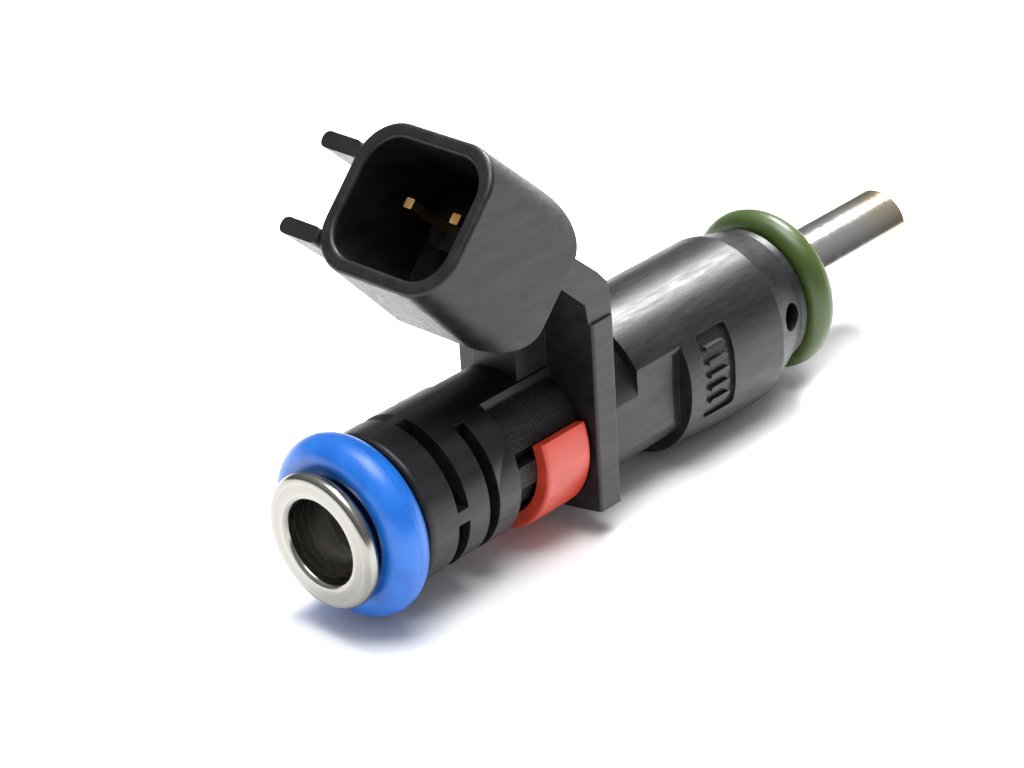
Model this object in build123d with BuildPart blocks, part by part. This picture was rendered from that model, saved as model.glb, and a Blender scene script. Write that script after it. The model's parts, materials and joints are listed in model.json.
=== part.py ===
from build123d import *
from math import cos, radians, sin
import os

# Port fuel injector: a solenoid valve in a moulded plastic body, lying with its connector up.
# The valve's axis is Y, and Y grows from the inlet towards the nozzle. Z points to the connector's
# side and X across. The origin is on the axis, in the middle plane of the upper O-ring.
# Lengths are in millimetres. Angles about the axis start at +X and grow towards +Z.

# --- Seals: their section and place set the injector's size --------------------------------------
upper_seal_section = 3.53
upper_seal_bore = 7.60
lower_seal_section = 2.62
lower_seal_bore = 8.96
seal_spacing = 48.65

# --- Inlet tube ----------------------------------------------------------------------------------
tube_radius = upper_seal_bore / 2
tube_bore_radius = 3.42
lip_radius = 5.45
lip_front = -3.5
lip_back = -2.3
tube_end = 31.0

# --- Moulded body --------------------------------------------------------------------------------
head_radius = 6.30
head_front = 2.05
slot_floor_radius = 4.60
front_slot = (4.91, 6.10)
bridge_angle, bridge_turn = 10, 3
rear_slot = (8.24, 9.33)
head_end = 11.66
neck_radius = 5.10
band_land_radius, land_top = 5.55, 0.95
ridge_half_width, pedestal_half_width = 2.45, 2.30
plate_front = 19.30
plate_back = 21.70
plate_half_width, plate_round = 7.30, 0.25
plate_shoulder, bend_half_width = 10.80, 7.10
coil_body_radius = 6.95
side_flat, flat_end = 5.85, 30.90
lower_front_radius = 6.45
relief_radius, relief_back = 6.05, 25.70
undercut_front, undercut_depth, undercut_top = 29.90, 0.25, 3.40
cover_drop_front, cover_drop = 0.50, 1.15
cover_full_depth = 37.0
shoulder_start, shoulder_end = 42.60, 46.20
body_end = 46.90
body_end_radius = 6.05

# --- Connector: a socket tilted towards the inlet -------------------------------------------------
mouth_y, mouth_z = 7.92, 22.81
tilt = 46.5
mouth_width, mouth_height, mouth_corner = 13.4, 12.1, 3.6
base_width, base_height, base_corner = 14.5, 13.0, 3.8
base_drop = 0.35
shroud_depth = 11.4
heel_radius_low, heel_radius_high = 3.4, 4.2
socket_depth = 10.1
shroud_wall, rim_round = 1.15, 0.35
pin_pitch = 4.70
pin_offset = 0.95
pin_size = 0.80
pin_length = 7.2
fin_length, fin_thickness, fin_heights = 7.0, 1.35, (-4.1, 3.0)
fin_reach, fin_root = 10.4, 6.4
pin_foot_z = 3.90

# --- Identification band --------------------------------------------------------------------------
band_front, band_back = 14.20, 19.05
band_outer_radius = 6.80
band_inner_radius = 5.60
band_end_angle = 21

# --- Solenoid and valve ---------------------------------------------------------------------------
housing_radius, housing_bore_radius = 5.42, 5.12
housing_front, housing_back = 27.20, 40.20
washer_front = 26.00
pole_face = 33.40
pole_bore_radius = 1.75
air_gap = 0.10
armature_radius = 3.36
armature_length = 6.40
ball_radius = 1.50
ball_y = 62.20
needle_radius, needle_bore_radius = 1.30, 0.85

# --- Nozzle ---------------------------------------------------------------------------------------
spigot_radius, spigot_bore_radius = 3.13, 2.60
press_fit_radius = 2.90
spigot_front, spigot_end = 51.60, 65.0
seal_seat_radius = 4.46
seal_seat_end = 50.35


def radial_plane(angle):
    """A plane through the axis: local x points outwards at this angle, local y along the axis."""
    a = radians(angle)
    return Plane(origin=(0, 0, 0), x_dir=(cos(a), 0, sin(a)), z_dir=(-sin(a), 0, cos(a)))


def cross_plane(y):
    """A plane square to the axis at this station, with local y towards the connector's side."""
    return Plane(origin=(0, y, 0), x_dir=(-1, 0, 0), z_dir=(0, 1, 0))


def turn(*outline, start=0, arc=360, mode=Mode.ADD):
    """Turn a closed (radius, y) outline about the axis, from the start angle downwards by arc."""
    with BuildSketch(radial_plane(start)) as section:
        with BuildLine():
            Polyline(*outline, close=True)
        make_face()
    revolve(section.sketch, axis=Axis.Y, revolution_arc=arc, mode=mode)


def sleeve(inner, outer, y0, y1, **kwargs):
    """Turn a plain tube, or a sector of one, between two radii and two stations."""
    turn((inner, y0), (outer, y0), (outer, y1), (inner, y1), **kwargs)


def socket_plane(depth):
    """A plane square to the connector's axis, at a depth below the mouth; local z points out."""
    outwards = Vector(0, -sin(radians(tilt)), cos(radians(tilt)))
    return Plane(origin=Vector(0, mouth_y, mouth_z) - outwards * depth, x_dir=(1, 0, 0), z_dir=outwards)


def save(part, name):
    """Label a finished piece and write it as its own STEP file."""
    part.label = name
    export_step(part, f"parts/{name}.step")


os.makedirs("parts", exist_ok=True)

# --- Inlet tube: deep-drawn steel with a rolled lip that keeps the seal on -------------------------
with BuildPart() as inlet_tube:
    sleeve(tube_bore_radius, tube_radius, lip_back, tube_end)
    sleeve(tube_bore_radius, lip_radius, lip_front, lip_back)
    front_rims = inlet_tube.edges().filter_by(GeomType.CIRCLE).group_by(Axis.Y)[0].sort_by(SortBy.RADIUS)
    fillet(front_rims[-1], 0.55)
    fillet(inlet_tube.edges().filter_by(GeomType.CIRCLE).group_by(Axis.Y)[0].sort_by(SortBy.RADIUS)[0], 0.45)
    back_rim = inlet_tube.edges().filter_by(GeomType.CIRCLE).filter_by_position(Axis.Y, lip_back - 0.01, lip_back + 0.01)
    fillet(back_rim.sort_by(SortBy.RADIUS)[-1], 0.45)
save(inlet_tube.part, "inlet_tube")

# --- Inlet filter: a moulded basket pressed into the tube, with a mesh sleeve inside its ribs ------
filter_front, filter_collar_end, filter_end = 3.6, 5.4, 15.5
with BuildPart() as inlet_filter_frame:
    sleeve(2.55, tube_bore_radius, filter_front, filter_collar_end)
    sleeve(0, 2.90, filter_end - 1.0, filter_end)
    with BuildSketch(cross_plane(filter_collar_end)):
        with PolarLocations(2.72, 4):
            Rectangle(0.34, 0.70)
    extrude(amount=filter_end - 1.0 - filter_collar_end)
save(inlet_filter_frame.part, "inlet_filter_frame")

with BuildPart() as inlet_filter_mesh:
    sleeve(2.35, 2.50, filter_front + 0.5, filter_end - 1.0)
save(inlet_filter_mesh.part, "inlet_filter_mesh")

# --- Seals ----------------------------------------------------------------------------------------
seals = (("upper_o_ring", 0, upper_seal_bore, upper_seal_section),
         ("lower_o_ring", seal_spacing, lower_seal_bore, lower_seal_section))
for name, y, bore, thickness in seals:
    with BuildPart() as seal:
        with BuildSketch(Plane.XY):
            with Locations((bore / 2 + thickness / 2, y)):
                Circle(thickness / 2)
        revolve(axis=Axis.Y)
    save(seal.part, name)

# --- Pole piece: the fixed core, with a longer bore for the spring and the adjusting tube ---------
with BuildPart() as pole_piece:
    sleeve(pole_bore_radius, tube_bore_radius, 20.0, pole_face)
    chamfer(pole_piece.edges().filter_by(GeomType.CIRCLE).group_by(Axis.Y)[0].sort_by(SortBy.RADIUS)[0], 0.5)
save(pole_piece.part, "pole_piece")

with BuildPart() as adjusting_tube:
    sleeve(1.15, pole_bore_radius, 22.0, 28.0)
    with BuildSketch(Plane.XY.offset(0.8)):
        with Locations((0, 25.0)):
            Rectangle(0.5, 7.0)
    extrude(amount=2.0, mode=Mode.SUBTRACT)
save(adjusting_tube.part, "adjusting_tube")

# --- Non-magnetic shell: bridges the air gap, so that the flux goes through the armature ----------
shell_end = 36.0
with BuildPart() as non_magnetic_shell:
    sleeve(tube_bore_radius, tube_radius, tube_end, shell_end)
save(non_magnetic_shell.part, "non_magnetic_shell")

# --- Valve body: carries the lower seal and necks down to the nozzle tube -------------------------
seat_tube_front = 45.2
with BuildPart() as valve_body:
    turn((tube_bore_radius, shell_end), (tube_radius, shell_end), (tube_radius, 44.6), (seal_seat_radius, 44.6),
         (seal_seat_radius, seal_seat_end), (press_fit_radius, seal_seat_end), (press_fit_radius, seat_tube_front),
         (tube_bore_radius, seat_tube_front))
    chamfer(valve_body.edges().filter_by(GeomType.CIRCLE).group_by(Axis.Y)[-1].sort_by(SortBy.RADIUS)[-1], 0.4)
save(valve_body.part, "valve_body")

# --- Nozzle tube: pressed into the valve body, with a bright spigot that enters the port -----------
with BuildPart() as nozzle_tube:
    sleeve(spigot_bore_radius, press_fit_radius, seat_tube_front, spigot_front)
    sleeve(spigot_bore_radius, spigot_radius, spigot_front, spigot_end)
    fillet(nozzle_tube.edges().filter_by(GeomType.CIRCLE).group_by(Axis.Y)[-1].sort_by(SortBy.RADIUS)[-1], 0.35)
save(nozzle_tube.part, "nozzle_tube")

with BuildPart() as seal_retainer:
    sleeve(press_fit_radius, 5.10, seal_seat_end + 0.05, seal_seat_end + 1.05)
    chamfer(seal_retainer.edges().filter_by(GeomType.CIRCLE).group_by(Axis.Y)[-1].sort_by(SortBy.RADIUS)[-1], 0.3)
save(seal_retainer.part, "seal_retainer")

# --- Seat, guide and orifice plate, stacked at the end of the nozzle tube -------------------------
with BuildPart() as ball_guide:
    sleeve(ball_radius + 0.02, spigot_bore_radius, 60.6, 62.4)
    with BuildSketch(cross_plane(60.6)):
        with PolarLocations(ball_radius + 0.35, 5):
            Circle(0.42)
    extrude(amount=1.8, mode=Mode.SUBTRACT)
save(ball_guide.part, "ball_guide")

seat_angle = 45
seat_contact_radius = ball_radius * cos(radians(seat_angle))
seat_contact_y = ball_y + ball_radius * sin(radians(seat_angle)) + 0.01
seat_bore_radius = 0.55
with BuildPart() as valve_seat:
    cone_front = seat_contact_y - (spigot_bore_radius - 0.9 - seat_contact_radius)
    cone_back = seat_contact_y + (seat_contact_radius - seat_bore_radius)
    turn((spigot_bore_radius - 0.9, cone_front), (spigot_bore_radius, cone_front), (spigot_bore_radius, 64.35),
         (seat_bore_radius, 64.35), (seat_bore_radius, cone_back))
save(valve_seat.part, "valve_seat")

with BuildPart() as orifice_disk:
    sleeve(0, 2.45, 64.35, 64.55)
    with BuildSketch(cross_plane(64.35)):
        with PolarLocations(0.34, 4):
            Circle(0.09)
    extrude(amount=0.2, mode=Mode.SUBTRACT)
save(orifice_disk.part, "orifice_disk")

# --- Moving valve: armature, needle tube and ball, one welded group -------------------------------
armature_front = pole_face + air_gap
armature_back = armature_front + armature_length
spring_pocket_end = armature_front + 3.0
with BuildPart() as armature:
    turn((pole_bore_radius, armature_front), (armature_radius, armature_front), (armature_radius, armature_back),
         (needle_radius, armature_back), (needle_radius, spring_pocket_end), (pole_bore_radius, spring_pocket_end))
    chamfer(armature.edges().filter_by(GeomType.CIRCLE).group_by(Axis.Y)[-1].sort_by(SortBy.RADIUS)[-1], 0.3)
    with BuildSketch(cross_plane(armature_front)):
        with PolarLocations(2.55, 4):
            Circle(0.40)
    extrude(amount=armature_length, mode=Mode.SUBTRACT)
save(armature.part, "armature")

needle_front, needle_back = spring_pocket_end + 0.2, ball_y - 1.0
with BuildPart() as needle_tube:
    sleeve(needle_bore_radius, needle_radius, needle_front, needle_back)
    for y, angle in ((43.0, 0), (46.0, 90)):
        with BuildSketch(radial_plane(angle)):
            with Locations((0, y)):
                Circle(0.45)
        extrude(amount=2.0, both=True, mode=Mode.SUBTRACT)
    with Locations((0, ball_y, 0)):
        Sphere(ball_radius, mode=Mode.SUBTRACT)
save(needle_tube.part, "needle_tube")

with BuildPart() as valve_ball:
    with Locations((0, ball_y, 0)):
        Sphere(ball_radius)
save(valve_ball.part, "valve_ball")

# --- Return spring: pushes the armature off the pole, set by the adjusting tube -------------------
spring_front, spring_back, spring_radius, spring_wire = 28.05, spring_pocket_end - 0.05, 1.35, 0.16
with BuildPart() as return_spring:
    with BuildLine():
        coil = Helix(pitch=0.92, height=spring_back - spring_front - 2 * spring_wire, radius=spring_radius,
                     center=(0, spring_front + spring_wire, 0), direction=(0, 1, 0))
    with BuildSketch(Plane(origin=coil @ 0, z_dir=coil % 0)):
        Circle(spring_wire)
    sweep(path=coil, is_frenet=True)
save(return_spring.part, "return_spring")

# --- Solenoid: bobbin, winding, steel can and front washer ----------------------------------------
bobbin_front, bobbin_back, flange = 27.30, 38.70, 0.80
core_radius = 4.20
with BuildPart() as coil_bobbin:
    sleeve(tube_radius + 0.05, core_radius, bobbin_front, bobbin_back)
    sleeve(core_radius, housing_bore_radius - 0.05, bobbin_front, bobbin_front + flange)
    sleeve(core_radius, housing_bore_radius - 0.05, bobbin_back - flange, bobbin_back)
save(coil_bobbin.part, "coil_bobbin")

with BuildPart() as coil_winding:
    sleeve(core_radius, 4.90, bobbin_front + flange, bobbin_back - flange)
save(coil_winding.part, "coil_winding")

with BuildPart() as coil_housing:
    turn((housing_bore_radius, housing_front), (housing_radius, housing_front), (housing_radius, housing_back),
         (tube_radius, housing_back), (tube_radius, bobbin_back + 0.05), (housing_bore_radius, bobbin_back + 0.05))
save(coil_housing.part, "coil_housing")

with BuildPart() as flux_washer:
    sleeve(tube_radius, housing_radius, washer_front, housing_front)
    with BuildSketch(cross_plane(washer_front)):
        with Locations((-pin_pitch / 2, pin_foot_z), (pin_pitch / 2, pin_foot_z)):
            RectangleRounded(1.1, 1.0, 0.2)
    extrude(amount=housing_front - washer_front, mode=Mode.SUBTRACT)
save(flux_washer.part, "flux_washer")

# --- Terminals: brass pins that run from the socket through the plate to the bobbin ----------------
pin_rise = socket_plane(0).y_dir * pin_offset
pin_bend = socket_plane(socket_depth + 6.9).origin + pin_rise
pin_tip = socket_plane(socket_depth - pin_length).origin + pin_rise
terminals = []
for side, name in ((-1, "terminal_left"), (1, "terminal_right")):
    x = side * pin_pitch / 2
    with BuildPart() as terminal:
        with BuildLine() as route:
            FilletPolyline((x, pin_tip.Y, pin_tip.Z), (x, pin_bend.Y, pin_bend.Z), (x, pin_bend.Y, pin_foot_z),
                           (x, bobbin_front, pin_foot_z), radius=0.6)
        with BuildSketch(Plane(origin=route.line @ 0, x_dir=(1, 0, 0), z_dir=route.line % 0)):
            RectangleRounded(pin_size, pin_size, 0.12)
        sweep(path=route.line)
    terminals.append(terminal.part)
    save(terminal.part, name)

# --- Identification band: a C-shaped clip snapped round the neck, open towards the connector ------
with BuildPart() as identification_band:
    band_arc = 180 + 2 * band_end_angle
    sleeve(band_inner_radius, band_outer_radius, band_front, band_back, start=band_end_angle, arc=band_arc)
    band_rims = identification_band.edges().filter_by(GeomType.CIRCLE).group_by(SortBy.RADIUS)[-1]
    fillet(band_rims, 0.30)
save(identification_band.part, "identification_band")

# --- Connector shell: rounded socket walls, wider at the base, with a rounded heel -----------------
across, mouth = Vector(1, 0, 0), socket_plane(0)
side_view = Plane(origin=mouth.origin, x_dir=mouth.y_dir, z_dir=across)
heel_low, heel_high = -base_height / 2 - base_drop, base_height / 2 - base_drop
with BuildPart() as connector_shell:
    with BuildSketch(mouth):
        RectangleRounded(mouth_width, mouth_height, mouth_corner)
    with BuildSketch(socket_plane(shroud_depth)):
        with Locations((0, -base_drop)):
            RectangleRounded(base_width, base_height, base_corner)
    loft()
    with BuildSketch(side_view):
        with BuildLine():
            FilletPolyline((heel_low, 0), (heel_low, -shroud_depth), (0, -shroud_depth), radius=heel_radius_low)
            FilletPolyline((0, -shroud_depth), (heel_high, -shroud_depth), (heel_high, 0), radius=heel_radius_high)
            Line((heel_high, 0), (heel_low, 0))
        make_face()
    extrude(amount=base_width, both=True, mode=Mode.INTERSECT)

# --- Label recess: an upright panel let into the side of the coil cover, with plain raised bars -----
recess_y, recess_z, recess_width, recess_height, recess_depth = 34.5, 0.22, 3.7, 7.2, 0.35
with BuildPart() as label_recess:
    with BuildSketch(Plane.YZ.offset(3.0)):
        with Locations((recess_y, recess_z)):
            RectangleRounded(recess_width, recess_height, 0.45)
        with Locations((recess_y, recess_z)):
            with GridLocations(0, 1.15, 1, 5):
                RectangleRounded(2.3, 0.42, 0.2, mode=Mode.SUBTRACT)
    extrude(amount=5.0)
    with BuildSketch(cross_plane(30.0)):
        with Locations((0, -cover_drop / 2)):
            SlotCenterToCenter(cover_drop, 2 * (coil_body_radius - recess_depth), rotation=90)
    extrude(amount=10.0, mode=Mode.SUBTRACT)

# --- Moulded body: ribbed head, neck, plate, connector and coil cover in one shot ------------------
with BuildSketch(cross_plane(head_end)) as band_land:
    Circle(band_land_radius)
    with Locations((0, land_top - band_land_radius)):
        Rectangle(3 * band_land_radius, 2 * band_land_radius, mode=Mode.INTERSECT)

with BuildPart() as overmold:
    # Ribbed head, and the neck cut back behind it except for a ridge under the connector.
    sleeve(0, head_radius, head_front, plate_front)
    fillet(overmold.edges().filter_by(GeomType.CIRCLE).group_by(Axis.Y)[0], 0.5)
    with BuildSketch(cross_plane(head_end)):
        Circle(head_radius + 1)
        Circle(neck_radius, mode=Mode.SUBTRACT)
        add(band_land.sketch, mode=Mode.SUBTRACT)
        with Locations((0, head_radius)):
            Rectangle(2 * ridge_half_width, 6.0, mode=Mode.SUBTRACT)
    extrude(amount=plate_front - head_end, mode=Mode.SUBTRACT)

    # Pedestal between the body and the connector's heel, in front of the plate.
    with BuildSketch(Plane.XY.offset(4.5)):
        with Locations((0, 18.1)):
            Rectangle(2 * pedestal_half_width, 4.2)
    extrude(amount=9.7)

    # Coil cover: flat-sided and shallower below at first, then full and deeper on the lower side.
    with BuildSketch(cross_plane(plate_front)):
        Circle(coil_body_radius)
        with Locations((0, coil_body_radius)):
            Rectangle(3 * coil_body_radius, 2 * coil_body_radius, mode=Mode.INTERSECT)
        Circle(lower_front_radius)
        Rectangle(2 * side_flat, 20, mode=Mode.INTERSECT)
    extrude(amount=flat_end - plate_front)
    stations = ((flat_end, cover_drop_front, coil_body_radius), (cover_full_depth, cover_drop, coil_body_radius),
                (shoulder_start, cover_drop, coil_body_radius), (shoulder_end, 0.1, body_end_radius))
    for front, back in zip(stations, stations[1:]):
        for y, drop, radius in (front, back):
            with BuildSketch(cross_plane(y)):
                with Locations((0, -drop / 2)):
                    SlotCenterToCenter(drop, 2 * radius, rotation=90)
        loft()
    sleeve(0, body_end_radius, shoulder_end, body_end)

    # Plate across the body, bent over at its top to carry the connector.
    with BuildSketch(cross_plane(plate_front)):
        with BuildLine():
            Polyline((-plate_half_width, -5.5), (0, -6.8), (plate_half_width, -5.5),
                     (plate_half_width, plate_shoulder), (bend_half_width, plate_shoulder), (bend_half_width, 12.5),
                     (-bend_half_width, 12.5), (-bend_half_width, plate_shoulder),
                     (-plate_half_width, plate_shoulder), close=True)
        make_face()
    extrude(amount=plate_back - plate_front)
    with BuildSketch(side_view):
        with BuildLine():
            Polyline((0.1, -15.0), (0.1, -10.8), (2.6, -10.8), (2.75, -14.6), (2.6, -16.1), (1.95, -17.05),
                     (0.9, -16.9), (-1.0, -16.4), close=True)
        make_face()
    extrude(amount=bend_half_width, both=True)
    plate_edges = overmold.edges().filter_by(Axis.Z).filter_by_position(Axis.Y, plate_front - 0.01, plate_back + 0.01)
    fillet([edge for edge in plate_edges if abs(edge.center().X) > plate_half_width - 0.01], plate_round)

    add(connector_shell.part)

    # Socket, with a boss round the pins.
    with BuildSketch(socket_plane(socket_depth)):
        RectangleRounded(mouth_width - 2 * shroud_wall, mouth_height - 2 * shroud_wall, mouth_corner - 0.9)
    extrude(amount=socket_depth + 1, mode=Mode.SUBTRACT)
    with BuildSketch(socket_plane(socket_depth)):
        with Locations((0, pin_offset)):
            RectangleRounded(7.6, 3.4, 1.5)
    extrude(amount=2.2)

    rim = [edge for edge in overmold.edges() if abs(mouth.to_local_coords(edge.center()).Z) < 0.01
           and abs(mouth.to_local_coords(edge @ 0).Z) < 0.01]
    fillet(rim, rim_round)

    # Guide fins and the latch ramp on the connector's far side.
    with BuildSketch(mouth):
        for height in fin_heights:
            with Locations((-(fin_reach + fin_root) / 2, height)):
                RectangleRounded(fin_reach - fin_root, fin_thickness, 0.6)
    extrude(amount=-fin_length)
    with BuildSketch(socket_plane(2.0)):
        with Locations((-mouth_width / 2 - 0.35, sum(fin_heights) / 2)):
            Rectangle(1.7, 3.4)
    extrude(amount=-3.2, taper=12)

    # Slots: the front one is bridged in four places, the rear one stops under the connector.
    for bridge in range(0, 360, 90):
        sleeve(slot_floor_radius, head_radius + 1, *front_slot, start=bridge + bridge_turn - bridge_angle / 2,
               arc=90 - bridge_angle, mode=Mode.SUBTRACT)
    sleeve(slot_floor_radius, head_radius + 1, *rear_slot, start=62, arc=304, mode=Mode.SUBTRACT)

    # Neck pockets beside the band's ends, and the relief over the upper half behind the plate.
    for start in (22, 170):
        sleeve(4.5, head_radius, head_end, plate_front, start=start, arc=12, mode=Mode.SUBTRACT)
    sleeve(relief_radius, coil_body_radius + 0.3, plate_back, relief_back, start=180, arc=180, mode=Mode.SUBTRACT)

    # An undercut where each flat meets the full cover, and the mould's core holes.
    for side in (-1, 1):
        with BuildSketch(Plane.XY.offset(undercut_top)):
            with Locations((side * (side_flat - undercut_depth + 1), (undercut_front + flat_end) / 2)):
                Rectangle(2.0, flat_end - undercut_front)
        extrude(amount=-2 * undercut_top, mode=Mode.SUBTRACT)
        with BuildSketch(Plane.YZ.offset(side * 5.0)):
            with Locations((44.4, 0.95)):
                Circle(1.15)
        extrude(amount=side * 3.0, mode=Mode.SUBTRACT)
    add(label_recess.part, mode=Mode.SUBTRACT)

    # Everything that is moulded in leaves its own shape inside.
    turn((0, head_front - 1), (tube_radius, head_front - 1), (tube_radius, washer_front), (housing_radius, washer_front),
         (housing_radius, housing_back), (tube_radius, housing_back), (tube_radius, 44.6), (seal_seat_radius, 44.6),
         (seal_seat_radius, body_end + 1), (0, body_end + 1), mode=Mode.SUBTRACT)
    add(terminals, mode=Mode.SUBTRACT)
save(overmold.part, "overmold")
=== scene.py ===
# %% [markdown]
# # A port fuel injector, finished in Blender
# The injector is a steel valve inside a black moulded body. It has a blue seal and a rolled steel lip
# at its inlet, a green seal and a bright nozzle tube at its other end, and a two-pin socket on top.
# The solid model comes ready made from CAD, in metres, with every piece in its place. This lesson
# adds the camera, the light, the finishes, and a wound return spring.

# %% Load the solid model
import json
from math import pi, radians
import bmesh
import bpy
from mathutils import Matrix, Vector


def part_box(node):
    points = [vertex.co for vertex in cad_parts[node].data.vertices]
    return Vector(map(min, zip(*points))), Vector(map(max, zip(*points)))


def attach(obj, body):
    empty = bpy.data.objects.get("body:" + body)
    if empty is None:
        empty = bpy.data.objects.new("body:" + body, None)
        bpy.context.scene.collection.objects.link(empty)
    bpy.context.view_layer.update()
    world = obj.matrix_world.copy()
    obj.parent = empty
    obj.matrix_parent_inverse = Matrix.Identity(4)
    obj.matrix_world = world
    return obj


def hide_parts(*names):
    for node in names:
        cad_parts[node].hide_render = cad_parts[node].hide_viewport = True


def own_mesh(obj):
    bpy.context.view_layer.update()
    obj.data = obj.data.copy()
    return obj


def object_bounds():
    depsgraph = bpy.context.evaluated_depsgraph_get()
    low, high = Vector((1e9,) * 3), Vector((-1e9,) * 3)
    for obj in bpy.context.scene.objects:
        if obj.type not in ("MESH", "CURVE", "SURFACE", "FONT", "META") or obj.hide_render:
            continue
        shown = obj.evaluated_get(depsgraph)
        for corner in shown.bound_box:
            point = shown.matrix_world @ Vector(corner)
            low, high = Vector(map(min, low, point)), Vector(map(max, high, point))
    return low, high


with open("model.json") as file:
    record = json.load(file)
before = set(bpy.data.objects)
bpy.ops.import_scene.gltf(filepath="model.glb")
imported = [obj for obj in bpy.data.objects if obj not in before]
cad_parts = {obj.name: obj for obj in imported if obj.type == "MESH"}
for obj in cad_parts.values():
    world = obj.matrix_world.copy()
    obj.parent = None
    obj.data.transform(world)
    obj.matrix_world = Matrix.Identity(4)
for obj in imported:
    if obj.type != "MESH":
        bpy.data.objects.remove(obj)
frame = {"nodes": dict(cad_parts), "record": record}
cad_low, cad_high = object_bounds()
print("size in mm:", [round(1000 * (high - low), 1) for low, high in zip(cad_low, cad_high)])

# %% [markdown]
# ## Camera
# A small part is viewed from a little way off through a long lens, so that its far end doesn't
# shrink. The camera looks at a point near the middle of the injector, from the connector's side and
# down at the inlet. A look-at matrix is the easy way: it is built from the view direction, and then
# rolled by a few degrees, as a hand-held camera is.

# %% Place the camera
def look_from(target, azimuth, elevation, distance, roll):
    """A matrix for a camera that looks at the target from these angles, in degrees and metres."""
    aim = Matrix.Rotation(radians(azimuth), 4, "Z") @ Matrix.Rotation(radians(90 - elevation), 4, "X")
    return (Matrix.Translation(target) @ aim @ Matrix.Translation((0, 0, distance))
            @ Matrix.Rotation(radians(roll), 4, "Z"))


view_target = Vector((0.0057, 0.01201, 0.00846))
view_azimuth, view_elevation, view_roll = 44.8, 28.05, -3.8
view_distance = 0.2099
camera_data = bpy.data.cameras.new("camera")
camera_data.sensor_width = 36
camera_data.lens = 99.75
camera_data.clip_start = 0.01
camera = bpy.data.objects.new("camera", camera_data)
camera.matrix_world = look_from(view_target, view_azimuth, view_elevation, view_distance, view_roll)
bpy.context.collection.objects.link(camera)
bpy.context.scene.camera = camera
print("camera at mm:", [round(1000 * c, 1) for c in camera.matrix_world.translation])

# %% [markdown]
# ## Floor
# The injector lies on plain white paper. A wide square is enough, just under the lowest point. Its
# white is uneven by a percent or two, as paper is, so that it isn't a dead flat colour.

# %% Make the floor
def link_mesh(name, bm):
    """Put a finished bmesh into the scene as an object with its origin at the world's."""
    mesh = bpy.data.meshes.new(name)
    bm.to_mesh(mesh)
    bm.free()
    piece = bpy.data.objects.new(name, mesh)
    bpy.context.collection.objects.link(piece)
    return piece


floor_half_width, floor_gap = 1.2, 0.00002
bm = bmesh.new()
bmesh.ops.create_grid(bm, x_segments=1, y_segments=1, size=floor_half_width)
bmesh.ops.translate(bm, verts=bm.verts, vec=(0, 0, cad_low[2] - floor_gap))
floor = link_mesh("floor", bm)
print("floor at mm:", round(1000 * cad_low[2], 2))

# %% [markdown]
# ## Light
# Shiny black plastic shows its surroundings more than its own colour, so the lamps and the room are
# what draws the shape. The room is dark near the horizon and pale overhead, which keeps the walls of
# the socket black. One large softbox stands high behind the nozzle, where the round body mirrors it
# towards the camera as a long streak. A second lamp hangs right overhead, and lights the paper.

# %% Set up the room and the softboxes
horizon_height, horizon_tone = 0.10, (0.17, 0.17, 0.18, 1.0)
overhead_height, overhead_tone = 0.95, (0.72, 0.74, 0.78, 1.0)
lamp_target = Vector((0, 0.02, 0.005))

scene = bpy.context.scene
scene.view_settings.view_transform = "Standard"
world = bpy.data.worlds.new("room")
world.use_nodes = True
scene.world = world
room = world.node_tree
background = room.nodes["Background"]
sky_place = room.nodes.new("ShaderNodeTexCoord")
sky_parts = room.nodes.new("ShaderNodeSeparateXYZ")
sky_tones = room.nodes.new("ShaderNodeValToRGB")
room.links.new(sky_place.outputs["Generated"], sky_parts.inputs[0])
room.links.new(sky_parts.outputs["Z"], sky_tones.inputs["Fac"])
room.links.new(sky_tones.outputs["Color"], background.inputs["Color"])
horizon_stop, overhead_stop = sky_tones.color_ramp.elements
horizon_stop.position, horizon_stop.color = horizon_height, horizon_tone
overhead_stop.position, overhead_stop.color = overhead_height, overhead_tone
background.inputs["Strength"].default_value = 1.0


def softbox(name, azimuth, elevation, distance, size, power):
    """A rectangular lamp that faces the injector from these angles."""
    lamp = bpy.data.lights.new(name, "AREA")
    lamp.shape = "RECTANGLE"
    lamp.size, lamp.size_y = size
    lamp.energy = power
    box = bpy.data.objects.new(name, lamp)
    box.matrix_world = look_from(lamp_target, azimuth, elevation, distance, 0)
    bpy.context.collection.objects.link(box)
    return box


softbox("streak softbox", 195, 50, 0.50, (0.15, 0.18), 5.2)
softbox("overhead softbox", 60, 84, 0.60, (0.40, 0.40), 4.9)
print("lamps:", len(bpy.data.lights))

# %% [markdown]
# ## Building blocks for the finishes
# Every finish starts from Blender's Principled shader. Numbers that are the same all over go
# straight onto the shader. What changes over the surface comes from noise that reads Object
# coordinates, which are metres here, so a noise scale of 5000 has grains about 0.2 mm apart.

# %% Start a material and wire its nodes
def finish(name, **sockets):
    """A new material with these plain values on its shader."""
    made = bpy.data.materials.new(name)
    made.use_nodes = True
    shader = made.node_tree.nodes["Principled BSDF"]
    for socket, value in sockets.items():
        shader.inputs[socket.replace("_", " ")].default_value = value
    return made


def node(made, kind, values=None, wires=None, **settings):
    """Add a node to a material: plain socket values, wired sockets and settings."""
    new = made.node_tree.nodes.new("ShaderNode" + kind)
    for setting, value in settings.items():
        setattr(new, setting, value)
    for socket, value in (values or {}).items():
        new.inputs[socket].default_value = value
    for socket, source in (wires or {}).items():
        made.node_tree.links.new(source, new.inputs[socket])
    return new


def wire(made, source, socket):
    """Join an output to one of the shader's sockets."""
    made.node_tree.links.new(source, made.node_tree.nodes["Principled BSDF"].inputs[socket])


print("building blocks:", finish.__name__, node.__name__, wire.__name__)

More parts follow.
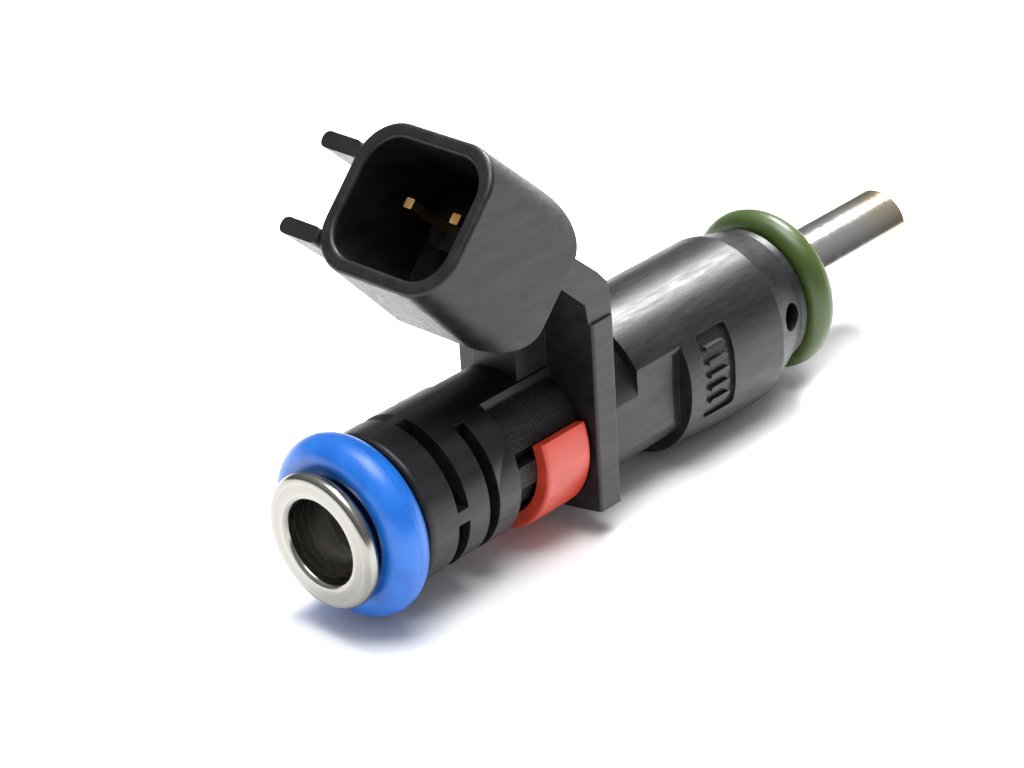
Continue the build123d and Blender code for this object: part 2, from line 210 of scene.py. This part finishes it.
# %% [markdown]
# Three patterns do most of the work. Grain is plain noise, stretched if the material flowed one way.
# Turning marks are noise that is read by radius and station, so that it makes rings round the axis,
# as a lathe or a rolling tool does. A band is a soft switch between two stations along the axis.

# %% Patterns: grain, turning marks and bands
def grain(made, scale, stretch=(1, 1, 1), detail=3.0):
    """Noise over the piece, with grains one over scale metres apart."""
    place = node(made, "TexCoord").outputs["Object"]
    turned = node(made, "Mapping", {"Scale": stretch}, {"Vector": place})
    noise = node(made, "TexNoise", {"Scale": scale, "Detail": detail}, {"Vector": turned.outputs[0]})
    return noise.outputs["Fac"]


def axis_place(made):
    """Distance from the valve's axis, station along it, and height, as three outputs."""
    place = node(made, "TexCoord").outputs["Object"]
    parts = node(made, "SeparateXYZ", wires={"Vector": place})
    flat = node(made, "CombineXYZ", wires={"X": parts.outputs["X"], "Z": parts.outputs["Z"]})
    radius = node(made, "VectorMath", wires={0: flat.outputs[0]}, operation="LENGTH")
    return radius.outputs["Value"], parts.outputs["Y"], parts.outputs["Z"]


def turning_marks(made, scale):
    """Noise in rings round the valve's axis."""
    radius, station, _ = axis_place(made)
    rings = node(made, "CombineXYZ", wires={"X": radius, "Y": station})
    noise = node(made, "TexNoise", {"Scale": scale, "Detail": 2.0}, {"Vector": rings.outputs[0]})
    return noise.outputs["Fac"]


def band(made, value, low, high, soft):
    """1 where the value lies between low and high, 0 outside, with soft sides."""
    up = node(made, "MapRange", {"From Min": low - soft, "From Max": low}, {"Value": value})
    fall = {"From Min": high, "From Max": high + soft, "To Min": 1.0, "To Max": 0.0}
    down = node(made, "MapRange", fall, {"Value": value})
    both = node(made, "Math", wires={0: up.outputs[0], 1: down.outputs[0]}, operation="MULTIPLY")
    return both.outputs[0]


def product(made, one, other):
    """Two patterns multiplied."""
    return node(made, "Math", wires={0: one, 1: other}, operation="MULTIPLY").outputs[0]


print("patterns:", grain.__name__, turning_marks.__name__, band.__name__)

# %% [markdown]
# The patterns then drive colour, roughness and height. Colour runs between two close tones, never
# one. Roughness moves by a tenth or so, which breaks up a highlight as real wear does. Height goes
# through Bump nodes, which can be chained, each with its own depth in metres.

# %% Drive colour, roughness and height
def tones(made, pattern, dark, light, spread=(0.35, 0.65)):
    """Colour between two tones, switched by a pattern."""
    ramp = node(made, "ValToRGB", wires={"Fac": pattern})
    for stop, position, colour in zip(ramp.color_ramp.elements, spread, (dark, light)):
        stop.position = position
        stop.color = (*colour, 1.0)
    wire(made, ramp.outputs["Color"], "Base Color")
    return ramp.outputs["Color"]


def gloss(made, pattern, smooth, rough):
    """Roughness between two values, switched by a pattern."""
    span = {"From Min": 0.3, "From Max": 0.7, "To Min": smooth, "To Max": rough}
    wire(made, node(made, "MapRange", span, {"Value": pattern}).outputs[0], "Roughness")


def relief(made, pattern, depth, strength=1.0, under=None):
    """Surface height in metres from a pattern, on top of another relief if there is one."""
    wires = {"Height": pattern}
    if under:
        wires["Normal"] = under
    bump = node(made, "Bump", {"Distance": depth, "Strength": strength}, wires)
    wire(made, bump.outputs["Normal"], "Normal")
    return bump.outputs["Normal"]


print("drivers:", tones.__name__, gloss.__name__, relief.__name__)

# %% [markdown]
# ## Black glass-filled nylon
# The body with its socket, the coil's bobbin and the seal retainer are moulded in nylon with glass
# fibre. The skin has a soft sheen, with paler flow streaks along the body where fibres lie near the
# surface. The neck behind the ribs was spark eroded in the mould, so it sparkles with a much coarser
# grain. A band by station and by radius puts that grain only where the mould has it. No moulded edge
# is knife sharp, so a Bevel node rounds the shading of every edge by a tenth of a millimetre.

# %% Mix the black nylon
neck_start, neck_end, neck_radius, neck_pits = 0.0118, 0.0192, 0.0056, 0.00012
edge_round = 0.00009


def black_nylon(name, flow):
    """Black moulded nylon whose fibres flowed in the direction that is stretched least."""
    made = finish(name, Specular_IOR_Level=0.33)
    streaks = grain(made, 900, flow)
    tones(made, streaks, (0.0045, 0.0045, 0.0052), (0.0105, 0.0105, 0.0120))
    gloss(made, grain(made, 2600, flow), 0.33, 0.47)
    soft_edge = node(made, "Bevel", {"Radius": edge_round}, samples=4).outputs["Normal"]
    skin = relief(made, grain(made, 7500), 0.000007, under=soft_edge)
    radius, station, _ = axis_place(made)
    eroded = product(made, band(made, station, neck_start, neck_end, 0.0001),
                     band(made, radius, 0.0, neck_radius, 0.0001))
    pits = product(made, eroded, grain(made, 6500, detail=1.0))
    relief(made, pits, neck_pits, under=skin)
    return made


body_nylon = black_nylon("black nylon", (1.0, 0.16, 1.0))
print("black nylon nodes:", len(body_nylon.node_tree.nodes))

# %% [markdown]
# ## Seal rubber
# Both seals are smooth moulded rubber. What gives rubber away is a fine parting line round its widest
# place, where the two halves of the mould meet, and a sheen that is broken by a faint orange peel.

# %% Mix the seal rubbers
parting_radius, seal_reach = 0.0068, 0.02
half_line, line_height = 0.00003, 0.00003


def middle_plane(seal):
    """The station of a seal's middle plane, from its box."""
    low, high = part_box(seal)
    return (low.y + high.y) / 2


def seal_rubber(name, dark, light, seal, smooth):
    """Smooth rubber with a parting line round this seal's outside."""
    middle = middle_plane(seal)
    made = finish(name, Specular_IOR_Level=0.45)
    tones(made, grain(made, 420), dark, light)
    gloss(made, grain(made, 3000), smooth, smooth + 0.12)
    peel = relief(made, grain(made, 5200, detail=2.0), 0.000006)
    radius, station, _ = axis_place(made)
    line = product(made, band(made, station, middle - half_line, middle + half_line, 0.00004),
                   band(made, radius, parting_radius, seal_reach, 0.0001))
    relief(made, line, line_height, under=peel)
    return made


blue_rubber = seal_rubber("blue seal rubber", (0.006, 0.110, 0.48), (0.011, 0.145, 0.56),
                          "upper_o_ring", 0.28)
green_rubber = seal_rubber("green seal rubber", (0.030, 0.053, 0.008), (0.042, 0.070, 0.012),
                           "lower_o_ring", 0.30)
print("seal rubbers:", blue_rubber.name, "and", green_rubber.name)

# %% [markdown]
# ## Red band plastic
# The marking clip is unfilled plastic, so it is brighter and lets a little light in. Subsurface
# scattering over a fraction of a millimetre gives its edges the warmer glow.

# %% Mix the red plastic
red_plastic = finish("red clip plastic", Specular_IOR_Level=0.5,
                     Subsurface_Weight=0.12, Subsurface_Scale=0.0005)
tones(red_plastic, grain(red_plastic, 700, (1.0, 0.3, 1.0)), (0.40, 0.030, 0.013), (0.48, 0.043, 0.022))
gloss(red_plastic, grain(red_plastic, 2400), 0.30, 0.44)
relief(red_plastic, grain(red_plastic, 6000), 0.000008)
print("red plastic nodes:", len(red_plastic.node_tree.nodes))

# %% [markdown]
# ## Turned steels
# The inlet tube's lip is rolled over, and the valve's own steel is ground. Both tools go round the
# axis, so one recipe makes both: rings of noise set the tone, the roughness and a very shallow
# relief. Only the tones and the depth differ.

# %% Mix the turned steels
def turned_steel(name, dark, light, smooth, rough, depth):
    """Steel with turning marks round the valve's axis."""
    made = finish(name, Metallic=1.0)
    rings = turning_marks(made, 5200)
    tones(made, rings, dark, light)
    gloss(made, rings, smooth, rough)
    fine = relief(made, rings, depth)
    relief(made, grain(made, 9000), depth * 0.5, under=fine)
    return made


lip_steel = turned_steel("rolled lip steel", (0.27, 0.26, 0.235), (0.33, 0.32, 0.295), 0.18, 0.30, 0.0000015)
valve_steel = turned_steel("ground valve steel", (0.42, 0.42, 0.43), (0.52, 0.52, 0.53), 0.18, 0.30, 0.000002)
print("turned steels:", lip_steel.name, "and", valve_steel.name)

# %% [markdown]
# ## Nozzle steel
# The nozzle tube is polished, and its end was warmed by welding, so it turns straw coloured over the
# last few millimetres. A ramp by station gives the tint its place, and noise keeps its edge uneven.
# The tube is smoother than the turned steels, so it has its own recipe.

# %% Mix the nozzle's steel with its straw tint
nozzle_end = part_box("nozzle_tube")[1].y
tint = {"From Min": nozzle_end - 0.0065, "From Max": nozzle_end - 0.0005}
nozzle_steel = finish("polished nozzle steel", Metallic=1.0)
_, nozzle_station, _ = axis_place(nozzle_steel)
warmed = node(nozzle_steel, "MapRange", tint, {"Value": nozzle_station})
uneven = product(nozzle_steel, warmed.outputs[0], grain(nozzle_steel, 500))
tones(nozzle_steel, uneven, (0.50, 0.48, 0.445), (0.56, 0.46, 0.27), (0.10, 0.60))
gloss(nozzle_steel, turning_marks(nozzle_steel, 4200), 0.10, 0.22)
relief(nozzle_steel, turning_marks(nozzle_steel, 6500), 0.000002)
print("nozzle steel nodes:", len(nozzle_steel.node_tree.nodes))

# %% [markdown]
# ## Zinc plated steel
# The coil's can is stamped and then zinc plated. Plating hides the tool marks and leaves cloudy
# patches instead, so plain noise with more detail takes the place of the rings.

# %% Mix the plated steel
plated_steel = finish("zinc plated steel", Metallic=1.0)
tones(plated_steel, grain(plated_steel, 800, detail=5.0), (0.42, 0.43, 0.46), (0.60, 0.60, 0.58))
gloss(plated_steel, grain(plated_steel, 1500), 0.28, 0.45)
relief(plated_steel, grain(plated_steel, 5000), 0.000005)
print("plated steel nodes:", len(plated_steel.node_tree.nodes))

# %% [markdown]
# ## Brass and copper
# The pins are stamped brass strip with drawing marks, which noise stretched one way gives. The
# winding is enamelled wire, laid turn by turn. Modelling hundreds of turns would be slow and none is
# seen, so the CAD sleeve stays, and a wave along the axis gives the turns as bumps. The same wave
# paints shade into the copper's colour, dark in the grooves between the turns.

# %% Mix the brass and the copper wire
brass = finish("pin brass", Metallic=1.0)
tones(brass, grain(brass, 1500, (1.0, 0.3, 0.3)), (0.50, 0.25, 0.07), (0.78, 0.50, 0.21))
gloss(brass, grain(brass, 5000, (1.0, 0.1, 0.1)), 0.16, 0.32)
relief(brass, grain(brass, 7000, (1.0, 0.1, 0.1)), 0.000004)

copper = finish("enamelled copper wire", Metallic=1.0, Coat_Weight=0.6)
_, copper_station, _ = axis_place(copper)
along = node(copper, "CombineXYZ", wires={"X": copper_station})
turns = node(copper, "TexWave", {"Scale": 1600.0}, {"Vector": along.outputs[0]}, wave_profile="SIN")
# The dark tone falls in the grooves between turns: painted shade, on top of the bumps.
tones(copper, turns.outputs["Fac"], (0.30, 0.07, 0.02), (0.72, 0.27, 0.10))
gloss(copper, grain(copper, 2000), 0.20, 0.34)
relief(copper, turns.outputs["Fac"], 0.00004)
print("brass and copper nodes:", len(brass.node_tree.nodes), len(copper.node_tree.nodes))

# %% [markdown]
# ## White nylon and filter mesh
# The filter in the inlet has a frame of natural nylon, which is white and lets a little light in. Its
# sleeve is woven. Two waves at an angle make the threads in the material, and the CAD sleeve stays.
# The gaps between the threads are painted dark, as painted shade for the dark inside behind them.

# %% Mix the white nylon and the woven mesh
thread_scale = 2400.0
white_nylon = finish("natural nylon", Subsurface_Weight=0.2, Subsurface_Scale=0.0005)
tones(white_nylon, grain(white_nylon, 900), (0.70, 0.68, 0.61), (0.80, 0.79, 0.74))
gloss(white_nylon, grain(white_nylon, 2500), 0.38, 0.52)
relief(white_nylon, grain(white_nylon, 6000), 0.000006)

woven_mesh = finish("woven filter mesh")
mesh_place = node(woven_mesh, "TexCoord").outputs["Object"]
warp = node(woven_mesh, "TexWave", {"Scale": thread_scale}, {"Vector": mesh_place}, bands_direction="Y")
weft = node(woven_mesh, "TexWave", {"Scale": thread_scale}, {"Vector": mesh_place},
            bands_direction="DIAGONAL")
threads_and_gap_shade = node(woven_mesh, "Math", wires={0: warp.outputs["Fac"], 1: weft.outputs["Fac"]},
               operation="MAXIMUM")
# Dark between the threads is painted shade for the gaps. The threads keep the lighter tone.
tones(woven_mesh, threads_and_gap_shade.outputs[0], (0.22, 0.21, 0.18), (0.68, 0.67, 0.60))
gloss(woven_mesh, threads_and_gap_shade.outputs[0], 0.60, 0.42)
relief(woven_mesh, threads_and_gap_shade.outputs[0], 0.00003)
print("mesh nodes:", len(woven_mesh.node_tree.nodes))

# %% [markdown]
# ## Give every piece its finish
# The record names a material slot for each piece, and a table turns slots into the finishes above. A
# CAD piece keeps its mesh, and only its material slots change.

# %% Put the finishes on the pieces
finish_of = {"black_nylon": body_nylon, "red_plastic": red_plastic, "blue_seal": blue_rubber,
             "green_seal": green_rubber, "nickel_steel": lip_steel, "bright_steel": nozzle_steel,
             "valve_steel": valve_steel, "plated_steel": plated_steel, "tinned_brass": brass,
             "copper_wire": copper, "white_nylon": white_nylon, "filter_mesh": woven_mesh}
for part in frame["record"]["subparts"]:
    piece = frame["nodes"][part["node"]]
    for place in piece.material_slots:
        place.link = "OBJECT"
        place.material = finish_of[part["material_slot"]]

# %% [markdown]
# ## The return spring
# The spring is the one piece that changes shape: when the valve lifts, it gives up 0.08 mm of its
# length. A small circle of wire is spun round the valve's axis and shifted along it at every step,
# which makes a helix.

# %% Wind the return spring
spring_low, spring_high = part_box("return_spring")
wire_radius, pitch, wire_sides, steps_per_turn = 0.00016, 0.00092, 14, 40
coil_radius = (spring_high.x - spring_low.x) / 2 - wire_radius
coil_height = spring_high.y - spring_low.y - 2 * wire_radius
coil_turns = coil_height / pitch
bm = bmesh.new()
end_ring = bmesh.ops.create_circle(bm, segments=wire_sides, radius=wire_radius, cap_ends=False)["verts"]
bmesh.ops.translate(bm, verts=end_ring, vec=(coil_radius, spring_low.y + wire_radius, 0))
steps = round(steps_per_turn * coil_turns)
bmesh.ops.spin(bm, geom=bm.verts[:] + bm.edges[:], cent=(0, 0, 0), axis=(0, 1, 0),
               dvec=(0, coil_height / steps, 0), angle=2 * pi * coil_turns, steps=steps,
               use_merge=False, use_duplicate=False)
bmesh.ops.holes_fill(bm, edges=[edge for edge in bm.edges if edge.is_boundary], sides=wire_sides)
bmesh.ops.recalc_face_normals(bm, faces=bm.faces)
for face in bm.faces:
    face.smooth = True
spring = link_mesh("return_spring_wire", bm)
spring.data.materials.append(valve_steel)
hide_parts("return_spring")
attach(spring, "injector")
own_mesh(spring)
print("spring turns:", round(coil_turns, 2), "faces:", len(spring.data.polygons))

# %% [markdown]
# ## Paper
# Paper is matt and nearly white. Very faint, wide noise makes its white a little uneven, and finer
# noise gives it tooth. The floor already lies in its place, so only its finish is left to make.

# %% Finish the floor
paper = finish("white paper", Specular_IOR_Level=0.2)
tones(paper, grain(paper, 60), (0.90, 0.90, 0.90), (0.92, 0.92, 0.92))
gloss(paper, grain(paper, 2000), 0.75, 0.9)
relief(paper, grain(paper, 3000), 0.00001)
floor.data.materials.append(paper)
print("floor finish:", paper.name)
